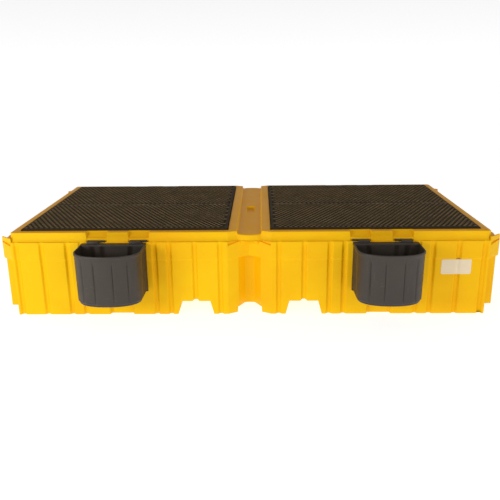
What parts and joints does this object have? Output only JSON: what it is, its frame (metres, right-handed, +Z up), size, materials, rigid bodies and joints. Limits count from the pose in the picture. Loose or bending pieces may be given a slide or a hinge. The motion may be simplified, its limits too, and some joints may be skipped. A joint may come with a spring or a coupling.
{
  "type": "spill containment pallet",
  "caption": "Long twin-bay plastic spill sump with fork tunnels, lift-out deck panels on columns, and two D-shaped bucket shelves hooked over its front rim.",
  "frame": {"origin": "centre of the sump's flat underside, on the floor", "axes": "+X along the pallet's length, +Y away from the side that carries the bucket shelves, +Z up"},
  "size_m": [3.175, 1.8825, 0.5588],
  "materials": {
    "yellow_shell": "bright yellow moulded polyethylene, satin, with a faint orange-peel skin",
    "deck_foam": "dark brown-black structural foam with a raised staggered tread, matte, scuffed",
    "column_grey": "dark grey moulded polyethylene, matte",
    "shelf_dark": "dark warm grey moulded polyethylene, satin",
    "blank_label": "cream vinyl sticker with no lettering, satin"
  },
  "bodies": {
    "sump_body": {"sump": "yellow_shell", "label": "blank_label", "deck_column_01": "column_grey", "deck_column_02": "column_grey", "deck_column_03": "column_grey", "deck_column_04": "column_grey", "deck_column_05": "column_grey", "deck_column_06": "column_grey", "deck_column_07": "column_grey", "deck_column_08": "column_grey", "deck_column_09": "column_grey", "deck_column_10": "column_grey", "deck_column_11": "column_grey", "deck_column_12": "column_grey", "deck_column_13": "column_grey", "deck_column_14": "column_grey", "deck_column_15": "column_grey", "deck_column_16": "column_grey", "deck_column_17": "column_grey", "deck_column_18": "column_grey", "deck_column_19": "column_grey", "deck_column_20": "column_grey", "deck_column_21": "column_grey", "deck_column_22": "column_grey", "deck_column_23": "column_grey", "deck_column_24": "column_grey", "deck_column_25": "column_grey", "deck_column_26": "column_grey", "deck_column_27": "column_grey", "deck_column_28": "column_grey", "deck_column_29": "column_grey", "deck_column_30": "column_grey"},
    "deck_left_front": {"deck_left_front": "deck_foam"},
    "deck_left_back": {"deck_left_back": "deck_foam"},
    "deck_right_front": {"deck_right_front": "deck_foam"},
    "deck_right_back": {"deck_right_back": "deck_foam"},
    "bucket_shelf_left": {"bucket_shelf_left": "shelf_dark"},
    "bucket_shelf_right": {"bucket_shelf_right": "shelf_dark"}
  },
  "joints": [
    {"name": "deck_left_front_lift", "type": "slide", "parent": "sump_body", "child": "deck_left_front", "axis": [0, 0, 1], "range_m": [0, 0.25]},
    {"name": "deck_left_back_lift", "type": "slide", "parent": "sump_body", "child": "deck_left_back", "axis": [0, 0, 1], "range_m": [0, 0.25]},
    {"name": "deck_right_front_lift", "type": "slide", "parent": "sump_body", "child": "deck_right_front", "axis": [0, 0, 1], "range_m": [0, 0.25]},
    {"name": "deck_right_back_lift", "type": "slide", "parent": "sump_body", "child": "deck_right_back", "axis": [0, 0, 1], "range_m": [0, 0.25]},
    {"name": "bucket_shelf_left_lift", "type": "slide", "parent": "sump_body", "child": "bucket_shelf_left", "axis": [0, 0, 1], "range_m": [0, 0.12]},
    {"name": "bucket_shelf_right_lift", "type": "slide", "parent": "sump_body", "child": "bucket_shelf_right", "axis": [0, 0, 1], "range_m": [0, 0.12]}
  ]
}
